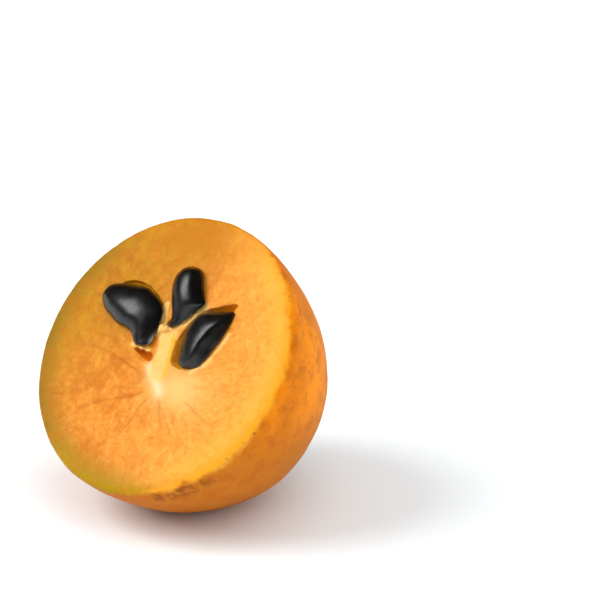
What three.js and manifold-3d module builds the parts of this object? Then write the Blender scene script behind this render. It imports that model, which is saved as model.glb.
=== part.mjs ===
// Half of a sapodilla, cut across and lying on its side with its cut face up and to the front.
// Millimetres, +Z up. The origin is the middle of the small flat spot that the fruit rests on.
// X runs to the right along the cut face, and the face looks towards -Y and up.

import * as THREE from 'three';
import { mergeVertices } from 'three/addons/utils/BufferGeometryUtils.js';
import Module from 'manifold-3d';

const solids = await Module();
solids.setup();

// Fruit: an egg-shaped body with three half axes, cut just past its widest place.
const LONG_RADIUS = 34.9;
const SHORT_RADIUS = 32.7;
const POLE_LENGTH = 41;
const OVAL_TURN = -16.4;
const CUT_OFFSET = 2;
const RIM_ROUNDING = 1.2;
const FACE_ELEVATION = 40.4;
const REST_DEPTH = 1.1;
const STEM_DIMPLE_RADIUS = 7;
const STEM_DIMPLE_DEPTH = 1.1;

// Points on the cut face are given as across and up from the fruit's axis, then height out of
// the face. Each seed follows a curve from its outer end to its inner end. A positive fullness
// makes the outer end the broad one, and the neck narrows the seed just before its inner end.
const SEED_GAP = 0.35;
const SEED_BLUNTNESS = 0.86;
const NECK_PLACE = -0.72;
const NECK_REACH = 0.3;
const SEEDS = {
  seed_left: {
    outer: [-21.7, 8.6, 1.1],
    bend: [-6.3, 8.9, 0.4],
    inner: [-7.0, -0.1, -0.8],
    width: 10.4,
    thickness: 8.2,
    fullness: 0.18,
    neck: 0.22,
  },
  seed_top: {
    outer: [-1.8, 19.8, 1.9],
    bend: [1.4, 14.7, 0.8],
    inner: [-0.2, 7.1, -0.9],
    width: 7.1,
    thickness: 7.2,
    fullness: 0.2,
    neck: 0.1,
  },
  seed_right: {
    outer: [14.2, 12.2, -0.2],
    bend: [8.1, 8.6, 1.2],
    inner: [8.3, -1.1, -1.1],
    width: 8.0,
    thickness: 7.2,
    fullness: -0.07,
    neck: 0.06,
  },
};

// Each pocket is a leaf-shaped hollow: its outline on the face and its depth. Its cutter runs
// out past the face by the reach, and widens there by the flare.
const POCKET_REACH = 9;
const POCKET_FLARE = 1.04;
const POCKET_FULLNESS = 0.8;
const POCKETS = {
  left: {
    depth: 4.4,
    outline: [
      [-2.8, -2.0],
      [-4.2, 2.4],
      [-5.1, 6.6],
      [-6.8, 10.6],
      [-11.0, 13.4],
      [-16.4, 13.8],
      [-21.0, 11.8],
      [-22.4, 8.2],
      [-19.4, 4.8],
      [-13.0, 1.8],
      [-8.2, -1.2],
    ],
  },
  top: {
    depth: 3.8,
    outline: [
      [-1.2, 6.4],
      [2.2, 10.0],
      [4.6, 13.2],
      [3.0, 17.0],
      [0.6, 20.4],
      [-2.4, 21.0],
      [-5.0, 19.0],
      [-4.6, 15.2],
      [-3.2, 10.6],
    ],
  },
  right: {
    depth: 4.6,
    outline: [
      [3.6, -1.9],
      [7.4, -1.8],
      [11.6, -0.6],
      [13.2, 4.2],
      [13.9, 9.6],
      [13.6, 15.6],
      [10.2, 14.3],
      [6.8, 13.4],
      [4.6, 11.7],
      [3.2, 8.4],
      [2.4, 4.8],
      [2.3, 1.2],
    ],
  },
};

// Calyx: a worn stem scar with six dry sepals, some of them broken short. A sepal's place is
// its turn round the scar, and its lean is from lying flat (0) to standing up (90).
const SCAR_RADIUS = 3.1;
const SCAR_HEIGHT = 1.5;
const CALYX_GAP = 0.45;
const SEPAL_THICKNESS = 0.9;
const SEPAL_CUP = 1.2;
const SEPAL_ROOT = 0.18;
const SEPALS = [
  { around: 255, length: 6.2, width: 5.0, lean: 72 },
  { around: 318, length: 3.6, width: 4.4, lean: 30 },
  { around: 17, length: 5.2, width: 4.8, lean: 46 },
  { around: 76, length: 3.0, width: 4.2, lean: 26 },
  { around: 137, length: 4.6, width: 4.6, lean: 38 },
  { around: 196, length: 3.4, width: 4.4, lean: 28 },
];

const BODY_SEGMENTS = 72;
const BODY_ROWS = 26;
const RIM_STEPS = 4;
const FACE_RINGS = [0.66, 0.33, 0];
const SEED_SEGMENTS = 22;
const SEED_ROWS = 16;
const POCKET_SEGMENTS = 44;
const POCKET_ROWS = 10;
const POCKET_LID = 0.15;
const POCKET_MOUTH = 0.3;
const SCAR_SEGMENTS = 24;
const SEPAL_SEGMENTS = 10;
const SEPAL_ROWS = 8;

const degrees = THREE.MathUtils.degToRad;
const LEAN = degrees(90 - FACE_ELEVATION);

// Closed shape made from a ball: every point of the ball, known by its turn about the axis and
// its place from pole to pole (0 to 1), moves to where pointAt puts it.
function shapedBall(segments, rows, pointAt) {
  const ball = new THREE.SphereGeometry(1, segments, rows);
  const place = ball.attributes.position;
  for (let row = 0; row <= rows; row++) {
    for (let column = 0; column <= segments; column++) {
      const turn = (-2 * Math.PI * (column % segments)) / segments;
      const point = pointAt(turn, row / rows);
      place.setXYZ(row * (segments + 1) + column, point.x, point.y, point.z);
    }
  }
  return ball;
}

function solidFrom(geometry) {
  geometry.deleteAttribute('normal');
  geometry.deleteAttribute('uv');
  const merged = mergeVertices(geometry, 1e-5);
  const mesh = new solids.Mesh({
    numProp: 3,
    vertProperties: new Float32Array(merged.attributes.position.array),
    triVerts: new Uint32Array(merged.index.array),
  });
  return new solids.Manifold(mesh);
}

function geometryFrom(solid) {
  const mesh = solid.getMesh();
  const geometry = new THREE.BufferGeometry();
  geometry.setAttribute('position', new THREE.BufferAttribute(mesh.vertProperties, 3));
  geometry.setIndex(new THREE.BufferAttribute(mesh.triVerts, 1));
  geometry.computeVertexNormals();
  return geometry;
}

function material(colour, roughness) {
  return new THREE.MeshStandardMaterial({ color: colour, roughness, metalness: 0 });
}

function named(name, geometry, finish) {
  const mesh = new THREE.Mesh(geometry, finish);
  mesh.name = name;
  return mesh;
}

// Fruit body before its hollows are cut, standing on its stem end with the cut face on top.
function bodyGeometry() {
  const rimFloor = CUT_OFFSET - RIM_ROUNDING;
  const lastAngle = Math.asin(rimFloor / POLE_LENGTH);
  const profile = [];
  for (let step = 0; step <= BODY_ROWS; step++) {
    const angle = THREE.MathUtils.lerp(-Math.PI / 2, lastAngle, step / BODY_ROWS);
    const out = step === 0 ? 0 : Math.cos(angle);
    const inDimple = Math.max(0, 1 - ((out * LONG_RADIUS) / STEM_DIMPLE_RADIUS) ** 2);
    profile.push([out, POLE_LENGTH * Math.sin(angle) + STEM_DIMPLE_DEPTH * inDimple ** 2]);
  }
  const rimShare = RIM_ROUNDING / LONG_RADIUS;
  const side = Math.cos(lastAngle);
  for (let step = 1; step <= RIM_STEPS; step++) {
    const angle = (step / RIM_STEPS) * (Math.PI / 2);
    const out = side - rimShare * (1 - Math.cos(angle));
    profile.push([out, rimFloor + RIM_ROUNDING * Math.sin(angle)]);
  }
  for (const share of FACE_RINGS) {
    profile.push([share, CUT_OFFSET]);
  }
  const points = profile.map(([out, up]) => new THREE.Vector2(out, up));
  const body = new THREE.LatheGeometry(points, BODY_SEGMENTS);
  body.rotateX(Math.PI / 2);
  body.scale(LONG_RADIUS, SHORT_RADIUS, 1);
  body.rotateZ(degrees(OVAL_TURN));
  return body;
}

// Hollow with a rounded floor below the face, and sides that run out past the face.
function pocketGeometry({ outline, depth }) {
  const corners = outline.map(([across, up]) => new THREE.Vector3(across, up, 0));
  const edge = new THREE.CatmullRomCurve3(corners, true, 'centripetal');
  const middle = new THREE.Vector3();
  corners.forEach((corner) => middle.addScaledVector(corner, 1 / corners.length));
  return shapedBall(POCKET_SEGMENTS, POCKET_ROWS, (turn, share) => {
    const point = edge.getPoint((-turn / (2 * Math.PI)) % 1);
    let spread = POCKET_FLARE;
    let height = POCKET_REACH;
    if (share < POCKET_LID) {
      spread = share / POCKET_LID;
    } else if (share >= POCKET_MOUTH) {
      const down = ((share - POCKET_MOUTH) / (1 - POCKET_MOUTH)) * (Math.PI / 2);
      spread = Math.cos(down) ** POCKET_FULLNESS;
      height = -depth * Math.sin(down);
    }
    point.lerpVectors(middle, point, spread);
    point.z = CUT_OFFSET + height;
    return point;
  });
}

// Seed: an egg-shaped body that follows its curve, made larger all round by extra.
function seedGeometry(seed, extra) {
  const [outer, bend, inner] = [seed.outer, seed.bend, seed.inner].map(
    ([across, up, out]) => new THREE.Vector3(across, up, CUT_OFFSET + out),
  );
  const spine = new THREE.QuadraticBezierCurve3(outer, bend, inner);
  const chord = inner.clone().sub(outer).normalize();
  const facing = new THREE.Vector3(0, 0, 1);
  return shapedBall(SEED_SEGMENTS, SEED_ROWS, (turn, share) => {
    const along = Math.cos(Math.PI * share);
    const round = Math.sin(Math.PI * share);
    const place = (1 - along) / 2;
    const forward = spine.getTangent(place).add(chord).normalize();
    const sideways = new THREE.Vector3().crossVectors(facing, forward).normalize();
    const outward = new THREE.Vector3().crossVectors(forward, sideways);
    const pinch = 1 - seed.neck * Math.exp(-(((along - NECK_PLACE) / NECK_REACH) ** 2));
    const swell = round ** SEED_BLUNTNESS * (1 + seed.fullness * along) * pinch;
    const halfWidth = (seed.width / 2) * swell + extra * round;
    const halfThickness = (seed.thickness / 2) * swell + extra * round;
    return spine
      .getPoint(place)
      .addScaledVector(forward, -extra * along)
      .addScaledVector(sideways, halfWidth * Math.cos(turn))
      .addScaledVector(outward, halfThickness * Math.sin(turn));
  });
}

// Sepal: a pointed, cupped blade that grows out of the scar's side.
function sepalSolid({ around, length, width, lean }) {
  const blade = shapedBall(SEPAL_SEGMENTS, SEPAL_ROWS, (turn, share) => {
    const along = (1 - Math.cos(Math.PI * share)) / 2;
    const root = Math.sqrt(Math.min(1, along / SEPAL_ROOT));
    const halfWidth = 0.6 * width * root * (1 - along) ** 0.8;
    const halfThickness = (SEPAL_THICKNESS / 2) * root * (1 - along) ** 0.35;
    const cup = SEPAL_CUP * Math.cos(turn) ** 2 * (halfWidth / width);
    return new THREE.Vector3(
      length * along,
      halfWidth * Math.cos(turn),
      cup + halfThickness * Math.sin(turn),
    );
  });
  blade.rotateY(degrees(-lean));
  blade.translate(SCAR_RADIUS * 0.62, 0, SCAR_HEIGHT * 0.45);
  blade.rotateZ(degrees(around));
  return solidFrom(blade);
}

// Calyx standing up on the XY plane: the worn ring of the scar with its sepals round it.
function calyxGeometry() {
  const profile = [
    [0, 0],
    [0.8, 0],
    [1, 0.35],
    [0.86, 0.85],
    [0.6, 1],
    [0.34, 0.75],
    [0, 0.62],
  ];
  const points = profile.map(([out, up]) => new THREE.Vector2(out * SCAR_RADIUS, up * SCAR_HEIGHT));
  const scar = new THREE.LatheGeometry(points, SCAR_SEGMENTS);
  scar.rotateX(Math.PI / 2);
  const sepals = SEPALS.map(sepalSolid);
  return geometryFrom(sepals.reduce((whole, sepal) => whole.add(sepal), solidFrom(scar)));
}

// Middle of the flat rest spot, in the fruit's own frame. The egg shape touches the ground where
// its surface faces straight down, and the spot lies a little nearer the fruit's middle.
function restSpot() {
  const axis = new THREE.Vector3(0, 0, 1);
  const down = new THREE.Vector3(0, -Math.sin(LEAN), -Math.cos(LEAN));
  const squares = new THREE.Vector3(LONG_RADIUS ** 2, SHORT_RADIUS ** 2, POLE_LENGTH ** 2);
  const touch = down.clone().applyAxisAngle(axis, degrees(-OVAL_TURN));
  touch.multiply(squares).applyAxisAngle(axis, degrees(OVAL_TURN));
  const standing = Math.sqrt(touch.dot(down));
  return touch.multiplyScalar((standing - REST_DEPTH) / standing ** 2);
}

// Fruit's own frame: its axis comes out of the cut face along Z, and the face's right is X.
const half = new THREE.Group();
half.rotation.x = LEAN;
half.position.copy(restSpot().applyAxisAngle(new THREE.Vector3(1, 0, 0), LEAN).negate());
half.updateMatrixWorld(true);

// Ground that flattens the fruit where it rests, seen from the fruit's own frame.
function groundSolid() {
  const ground = new THREE.BoxGeometry(3 * POLE_LENGTH, 3 * POLE_LENGTH, POLE_LENGTH);
  ground.translate(0, 0, -POLE_LENGTH / 2);
  ground.applyMatrix4(half.matrixWorld.clone().invert());
  return solidFrom(ground);
}

function fruitGeometry() {
  const pockets = Object.values(POCKETS).map((pocket) => solidFrom(pocketGeometry(pocket)));
  const seats = Object.values(SEEDS).map((seed) => solidFrom(seedGeometry(seed, SEED_GAP)));
  const hollows = [...pockets, ...seats, groundSolid()];
  return geometryFrom(hollows.reduce((whole, hollow) => whole.subtract(hollow), solidFrom(bodyGeometry())));
}

half.add(named('fruit_half', fruitGeometry(), material(0xe79a3c, 0.55)));
for (const [name, seed] of Object.entries(SEEDS)) {
  half.add(named(name, seedGeometry(seed, 0), material(0x17120f, 0.25)));
}

const calyx = named('calyx', calyxGeometry(), material(0x4a3326, 0.9));
calyx.rotation.x = Math.PI;
calyx.position.z = -POLE_LENGTH + STEM_DIMPLE_DEPTH - CALYX_GAP;
half.add(calyx);

const sapodilla = new THREE.Group();
sapodilla.add(half);

export default sapodilla;
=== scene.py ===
"""Looks of half a sapodilla with its seeds and calyx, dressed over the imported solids."""

import math

import bpy
import numpy as np
from mathutils import Matrix, Vector, noise


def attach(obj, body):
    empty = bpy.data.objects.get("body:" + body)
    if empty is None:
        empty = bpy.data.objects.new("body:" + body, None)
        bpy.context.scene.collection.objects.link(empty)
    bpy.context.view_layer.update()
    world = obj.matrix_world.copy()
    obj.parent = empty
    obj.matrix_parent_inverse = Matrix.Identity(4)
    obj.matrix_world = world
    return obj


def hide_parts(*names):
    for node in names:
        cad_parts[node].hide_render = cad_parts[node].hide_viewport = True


bl_info = {
    "name": "Sapodilla half",
    "version": (1, 0, 0),
    "blender": (4, 5, 0),
    "location": "3D View > Sidebar > Sapodilla",
    "description": "Models half a sapodilla, its three seeds, its dry calyx and a plain stage",
    "category": "Add Mesh",
}

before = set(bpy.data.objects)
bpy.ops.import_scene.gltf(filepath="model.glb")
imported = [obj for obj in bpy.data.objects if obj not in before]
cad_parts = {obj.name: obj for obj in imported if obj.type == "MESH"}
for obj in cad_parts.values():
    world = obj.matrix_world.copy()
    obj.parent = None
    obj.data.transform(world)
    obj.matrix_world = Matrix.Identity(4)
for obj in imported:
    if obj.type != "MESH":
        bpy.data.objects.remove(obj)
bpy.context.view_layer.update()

# ---- sizes
#
# Shapes are modelled in millimetres in the fruit's own frame: the fruit's axis is Z and comes
# out of the cut face, X runs to the right along the face and Y up it.

# Egg shape of the fruit, where it is cut, how it leans and how deep its rest spot is.
METRES = 0.001
LONG_RADIUS = 34.9
SHORT_RADIUS = 32.7
POLE_LENGTH = 41.0
AXES = np.array((LONG_RADIUS, SHORT_RADIUS, POLE_LENGTH))
OVAL_TURN = math.radians(-16.4)
CUT_OFFSET = 2.0
REST_DEPTH = 1.1
LEAN = math.radians(90 - 40.4)
DOWN = np.array((0.0, -math.sin(LEAN), -math.cos(LEAN)))
STEM_DIMPLE_RADIUS = 7.0
STEM_DIMPLE_DEPTH = 1.1
EGG_SEGMENTS, EGG_RINGS = 160, 120
RIM_STEPS = 6

# Seeds. Each is a closed outline, across and up, from its outer end round its inner end and back,
# at a height over the face. It swells out of that outline towards SWELL_WAY and back into its
# hollow, by shares of its half width, and more towards its outer end by the rise. A ridge runs
# along it, at a place between its sides at either end.
SWELL_WAY = (0.637, -0.188, 0.748)
SWELL_SKEW = 0.8
RIDGE_SOFTNESS = 0.12
THICKNESS_EASE = 10
SEED_SEGMENTS, SEED_RINGS = 96, 72
SEEDS = {
    "seed_left": dict(
        height=0.9, front=0.78, back=0.8, rise=1.6, ridge=0.12, ridge_place=(0.1, 0.3),
        outline=(
            (-23.1, 8.0), (-22.5, 10.3), (-20.0, 11.6), (-17.2, 12.2), (-14.3, 12.5),
            (-11.4, 12.7), (-8.7, 11.8), (-6.1, 10.6), (-4.0, 8.7), (-3.3, 6.0), (-3.1, 3.5),
            (-3.0, 0.9), (-4.9, 0.0), (-6.8, -0.4), (-8.2, 0.5), (-9.4, 1.7), (-11.0, 2.3),
            (-12.8, 2.5), (-14.6, 2.7), (-16.2, 3.2), (-17.8, 3.9), (-19.4, 4.5), (-20.9, 5.4),
            (-22.1, 6.6),
        ),
    ),
    "seed_top": dict(
        height=0.7, front=0.8, back=0.85, rise=1.5, ridge=0.08, ridge_place=(-0.1, -0.3),
        outline=(
            (-3.2, 20.0), (-1.3, 20.5), (0.7, 20.2), (2.3, 18.7), (3.5, 16.8), (4.9, 15.0),
            (6.2, 13.3), (5.3, 11.7), (4.0, 9.9), (2.8, 8.1), (1.2, 6.5), (-0.3, 5.9),
            (-0.9, 7.9), (-1.9, 9.7), (-3.1, 11.4), (-4.2, 13.2), (-5.1, 15.1), (-5.5, 17.2),
            (-5.0, 18.7), (-4.3, 19.5),
        ),
    ),
    "seed_right": dict(
        height=0.2, front=0.85, back=0.8, rise=0.3, ridge=0.42, ridge_place=(0.0, 0.1),
        outline=(
            (14.7, 13.5), (12.2, 13.1), (9.9, 12.5), (7.6, 11.5), (5.6, 10.2), (4.9, 8.0),
            (4.4, 6.0), (4.9, 3.6), (5.6, 1.3), (6.5, -1.0), (8.5, -1.8), (10.4, -1.4),
            (12.0, -0.6), (12.9, 1.0), (13.5, 2.7), (13.9, 4.5), (14.5, 6.2), (14.8, 8.1),
            (15.0, 9.9), (15.1, 11.7),
        ),
    ),
}

# Each seed lies in a seat of its own shape, larger all round by the gap.
SEAT_GAP = 0.15
SEAT_SEGMENTS, SEAT_RINGS = 56, 40

# Pockets: depth under the face and outline. A pocket's cutter starts over the face by the reach,
# wider there by the flare, and draws in to a rounded floor. Its outline wavers by noises, each
# with a frequency, a level and a share.
POCKET_REACH = 9.0
POCKET_FLARE = 1.03
POCKET_FULLNESS = 0.7
POCKET_CORNERS = 110
POCKET_STEPS = 13
POCKET_FLOOR_STEP = 12.6
POCKET_RAGGEDNESS = 0.16
POCKET_WAVES = ((1.1, 5.0, 1.0), (2.6, 9.0, 0.6))
POCKETS = {
    "left": (2.6, (
        (-20.6, 9.6), (-19.6, 12.4), (-17.4, 13.5), (-13.9, 13.7), (-10.2, 12.8), (-6.9, 11.0),
        (-4.9, 8.8), (-4.3, 6.1), (-5.6, 4.9), (-8.4, 5.0), (-15.0, 6.8), (-19.0, 7.9),
    )),
    "pit": (3.4, (
        (-2.0, 6.7), (-1.3, 7.9), (0.6, 8.2), (1.6, 6.9), (0.4, 5.5), (-1.5, 5.6),
    )),
    "right": (4.4, (
        (3.4, 6.4), (4.3, 8.9), (5.8, 11.6), (7.5, 12.8), (10.2, 14.0), (14.4, 15.6),
        (14.2, 13.9), (12.6, 11.2), (11.6, 5.3), (10.7, 1.0), (9.1, -1.6), (6.4, -2.2),
        (4.5, -1.7), (3.3, 0.5), (3.0, 3.5),
    )),
    "neck": (3.0, (
        (-8.8, -0.6), (-6.4, -0.3), (-3.2, -0.4), (-1.7, -1.2), (-1.2, -2.7), (-3.4, -2.6),
        (-6.2, -1.7),
    )),
}

# Pith threads: points as across, up and height over the face, and the thickness.
STRAND_CUTS = (0, -0.8, -0.6, -0.4, -0.2, 0.2, 0.4, 0.6, 0.8)
STRAND_STEP = 0.4
STRANDS = (
    (((-0.2, 5.0, -0.3), (1.6, 7.4, 0.1), (3.3, 10.0, 0.1), (5.2, 12.3, 0.1)), 0.62),
    (((0.9, 5.6, -0.9), (2.6, 7.6, -0.6), (3.9, 10.0, -0.5), (5.8, 12.4, -0.4)), 0.5),
    (((-4.0, 3.4, -0.3), (-3.5, 4.6, 0.4), (-3.2, 6.2, 0.1)), 0.7),
    (((-3.2, 3.6, 0.2), (-2.6, 5.0, 0.3), (-2.3, 6.8, -0.2)), 0.55),
    (((-2.2, 4.4, 0.1), (-1.2, 5.4, 0.4), (0.2, 5.8, 0.1)), 0.62),
    (((-8.7, -0.3, -0.2), (-7.4, -0.45, 0.1), (-5.4, -0.4, 0.15), (-3.0, -0.6, -0.3)), 0.45),
)

# Share of the faces kept when the plain skin is thinned, and how much it gives way by height.
SKIN_THINNING = 0.5
THINNED_BANDS = ((1.0, -99.0, -6.0), (0.45, -6.0, 0.0), (0.0, 0.0, 99.0))

# Points this near the skin or face are moved onto it, by less where they lie deep in the fruit.
SNAP_REACH, DEEP_SNAP_REACH = 1.4, 0.35
SNAP_DEPTH = 6.0
FLOOR_CLEARANCE = 0.25
FLOOR_SNAP = 0.12

# The rim is rounder round the right side: turns where that begins and ends, and how much.
SOFT_RIM_START = (262, 315)
SOFT_RIM_END = (30, 85)
RIM_SOFTENING = 1.7

# How far down the side the flesh reaches before the skin begins, by the turn round the face.
SKIN_EDGE = (
    (0, 1.4), (25, 1.2), (60, 1.1), (100, 1.0), (180, 0.9), (230, 1.1), (262, 1.3), (290, 1.2),
    (312, 1.5), (330, 2.1), (345, 1.7), (360, 1.4),
)
EDGE_BLUR, SOFT_EDGE_BLUR = 0.4, 0.35

# Thin brown veins on the cut face, as across and up: points, half width and strength.
VEIN_WANDER = 0.45
VEIN_GROOVE = 0.28
VEINS = (
    (((-2.7, -5.7), (-8.4, -4.5), (-13.5, -3.7), (-18.3, -3.5), (-22.5, -4.2)), 0.42, 0.95),
    (((2.0, -8.6), (-1.8, -11.4), (-6.8, -13.6), (-11.6, -16.3), (-15.0, -18.6)), 0.42, 0.9),
    (((3.2, -9.9), (1.9, -13.3), (1.2, -17.0), (-0.1, -20.8), (-0.6, -23.9)), 0.36, 0.75),
    (((5.4, -9.3), (8.0, -13.0), (10.7, -16.1), (12.4, -19.8)), 0.36, 0.6),
    (((12.6, -8.2), (17.6, -9.7), (20.7, -10.7), (23.3, -11.9)), 0.34, 0.55),
    (((14.4, -0.6), (17.5, 2.0), (21.9, 3.7), (24.6, 5.2)), 0.34, 0.5),
    (((-25.0, -17.4), (-20.4, -16.4), (-16.0, -14.3)), 0.4, 0.45),
    (((4.4, -9.9), (5.0, -14.0), (6.2, -18.2), (6.4, -22.6)), 0.3, 0.4),
    (((0.2, -8.9), (-4.6, -10.0), (-10.2, -11.4), (-16.0, -12.0)), 0.3, 0.3),
    (((12.8, -5.0), (18.0, -4.0), (23.4, -2.8)), 0.3, 0.35),
    (((9.8, -10.8), (13.6, -14.6), (17.0, -17.2)), 0.3, 0.35),
)

# Pale pith between the hollows, as lines on the face and their half widths.
PITH = (
    (((2.2, -4.2), (1.6, -1.6), (1.0, 2.2), (-0.4, 4.8)), 2.4),
    (((-3.2, 4.2), (-1.6, 5.2)), 1.1),
    (((10.8, -1.9), (13.6, 0.6), (15.0, 4.6), (15.9, 8.6)), 0.45),
    (((-1.4, 5.0), (2.2, 8.2), (5.8, 12.3)), 1.5),
    (((-3.6, 4.4), (-3.4, 7.0), (-4.6, 10.4)), 0.9),
    (((-8.6, -0.3), (-6.0, -0.4), (-3.0, -0.5)), 0.5),
)

# White streak of the core, and soft oval patches on the face as centre and reach.
CORE_LINE = ((-0.6, -4.0), (1.4, -5.5), (3.5, -7.2), (5.2, -8.6))
PALE_PATCH = ((10.0, -6.4), (7.0, 4.8))
AMBER_PATCH = ((-5.0, 28.0), (12.0, 7.0))

# Brown scuffs where the knife ran out through the skin, as lines on the face and half widths.
SCUFFS = (
    (((20.9, -26.6), (22.4, -25.6), (23.6, -24.8)), 0.42),
    (((18.8, -28.6), (20.2, -27.9), (21.4, -27.2)), 0.42),
    (((25.4, -23.0), (26.8, -22.0), (28.2, -20.8)), 0.34),
    (((15.4, -29.8), (17.2, -29.1)), 0.3),
    (((13.4, -31.8), (15.8, -31.0)), 0.34),
    (((29.4, -16.9), (30.0, -16.5)), 0.16),
    (((31.8, -12.7), (32.2, -12.2)), 0.15),
    (((32.9, -9.4), (33.0, -9.0)), 0.13),
)

# How far in from the skin each rim colour reaches.
OLIVE_REACH, GREEN_REACH, GLOW_REACH = 5.2, 3.4, 5.2
STEM_SCURF_REACH = 11.0

# Noises of the natural relief, as lump size and a shift that tells them apart, and the height of
# each on the skin, on the cut face and in the hollows.
GRAINS = {
    "lumps": (13.0, 1.0), "waves": (4.5, 2.0), "fine": (1.5, 3.0), "finer": (0.75, 4.0),
    "swells": (9.0, 5.0), "edge": (3.0, 11.0), "edge_fine": (1.1, 12.0),
}
SKIN_RELIEF = {"lumps": 0.20, "waves": 0.07, "fine": 0.035, "finer": 0.02}
FACE_RELIEF = {"swells": 0.10, "waves": 0.045, "fine": 0.03, "finer": 0.02}
HOLLOW_RELIEF = {"waves": 0.10, "fine": 0.05, "finer": 0.02}

# Calyx: the scar's profile from its root over its top, as shares of its radius and height, and
# its sepals as turn about the stem, length, width and lean.
SCAR_RADIUS = 3.1
SCAR_HEIGHT = 1.5
SCAR_ROOT = 0.4
SCAR_PROFILE = ((0.8, 0), (1, 0.35), (0.86, 0.85), (0.6, 1), (0.34, 0.75), (0.12, 0.62))
SCAR_CORNERS = 72
SEPAL_SEGMENTS, SEPAL_RINGS = 40, 32
SEPAL_THICKNESS = 0.9
SEPAL_CUP = 1.2
SEPAL_CURL = 0.5
SEPAL_ROOT = 0.18
SEPAL_RIB = 0.07
CALYX_GAP = 0.45
CALYX_FINENESS = 0.14
SEPALS = (
    (255, 6.2, 5.0, 72),
    (318, 3.6, 4.4, 30),
    (17, 5.2, 4.8, 46),
    (76, 3.0, 4.2, 26),
    (137, 4.6, 4.6, 38),
    (196, 3.4, 4.4, 28),
)

# Camera. One of the photo's pixels is 0.22 mm at the fruit's centre.
PHOTO_WIDTH = 611
PIXEL = 0.00022
CAMERA_DISTANCE = 0.5
CAMERA_AZIMUTH = math.radians(42.67)
CAMERA_ELEVATION = math.radians(20.0)
CAMERA_RIGHT, CAMERA_UP = 0.0309, 0.0110
SENSOR_WIDTH = 36
FLOOR_COLOUR = (0.87, 0.92, 0.94, 1)


def rest_spot():
    """Middle of the flat rest spot in the fruit's own frame."""
    turn = Matrix.Rotation(OVAL_TURN, 3, "Z")
    down = Vector(DOWN)
    local = turn.transposed() @ down
    touch = turn @ Vector(local[i] * AXES[i] ** 2 for i in range(3))
    standing = math.sqrt(touch.dot(down))
    return touch * ((standing - REST_DEPTH) / standing**2)


TURN = Matrix.Rotation(LEAN, 4, "X")
CENTRE = -(TURN.to_3x3() @ rest_spot())
PLACE = Matrix.Scale(METRES, 4) @ Matrix.Translation(CENTRE) @ TURN


def part_frame(points):
    """Points of the fruit's own frame as points of the part's frame, still in millimetres."""
    return points @ np.array(TURN.to_3x3()).T + np.array(CENTRE)


# ---- modelling helpers


def leave_edit_mode():
    bpy.ops.object.mode_set(mode="OBJECT")


def clear_selection():
    if bpy.context.object and bpy.context.object.mode != "OBJECT":
        leave_edit_mode()
    bpy.ops.object.select_all(action="DESELECT")


def choose(piece):
    """Selects this piece alone and makes it the active one."""
    clear_selection()
    piece.select_set(True)
    bpy.context.view_layer.objects.active = piece


def primitive(add, name, **settings):
    """Adds a primitive by its operator, alone in the selection, under this name."""
    clear_selection()
    add(**settings)
    piece = bpy.context.object
    piece.name = piece.data.name = name
    return piece


def unit_ball(name, segments, rings):
    """Ball to be shaped, of radius 1."""
    add = bpy.ops.mesh.primitive_uv_sphere_add
    return primitive(add, name, segments=segments, ring_count=rings, radius=1)


def points_of(piece):
    points = np.empty(len(piece.data.vertices) * 3, np.float32)
    piece.data.vertices.foreach_get("co", points)
    return points.reshape(-1, 3).astype(float)


def move_points(piece, points):
    piece.data.vertices.foreach_set("co", points.astype(np.float32).ravel())
    piece.data.update()


def normals_of(piece):
    normals = np.empty(len(piece.data.vertices) * 3, np.float32)
    piece.data.vertex_normals.foreach_get("vector", normals)
    return normals.reshape(-1, 3).astype(float)


def modify(piece, kind, **settings):
    """Adds one modifier and applies it."""
    choose(piece)
    modifier = piece.modifiers.new(kind.lower(), kind)
    for key, value in settings.items():
        setattr(modifier, key, value)
    bpy.ops.object.modifier_apply(modifier=modifier.name)


def boolean(piece, tool, operation):
    """Joins or cuts the piece with a tool, which is used up."""
    modify(piece, "BOOLEAN", object=tool, operation=operation, solver="MANIFOLD")
    bpy.data.objects.remove(tool)


def edit_all(piece):
    """Opens the piece in edit mode with all of it selected."""
    choose(piece)
    bpy.ops.object.mode_set(mode="EDIT")
    bpy.ops.mesh.select_all(action="SELECT")


def outward(piece):
    """Merges the piece's doubles and turns its faces outwards."""
    edit_all(piece)
    bpy.ops.mesh.remove_doubles(threshold=1e-4)
    bpy.ops.mesh.normals_make_consistent(inside=False)
    leave_edit_mode()


def extrude_rings(rings, pivot):
    """Extrudes the open edit selection through rings of size and height, from the first on."""
    for (size, height), (next_size, next_height) in zip(rings, rings[1:]):
        bpy.ops.mesh.extrude_region_move(
            TRANSFORM_OT_translate={"value": (0, 0, next_height - height)}
        )
        ratio = next_size / size
        bpy.ops.transform.resize(value=(ratio, ratio, 1), center_override=pivot)


def store(piece, name, values):
    """Keeps one number for every point, for the material to read."""
    layer = piece.data.attributes.new(name, "FLOAT", "POINT")
    layer.data.foreach_set("value", np.clip(values, 0, 1).astype(np.float32))


def grain(points, size, shift=0.0):
    """Smooth noise from -1 to 1 whose lumps are about size millimetres across."""
    move = Vector((shift, 1.7 * shift, -2.3 * shift))
    return np.array([noise.noise(Vector(p) + move) for p in points / size])


def smooth(low, high, values):
    """Soft step from 0 at low to 1 at high."""
    share = np.clip((values - low) / (high - low), 0, 1)
    return share * share * (3 - 2 * share)


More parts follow.
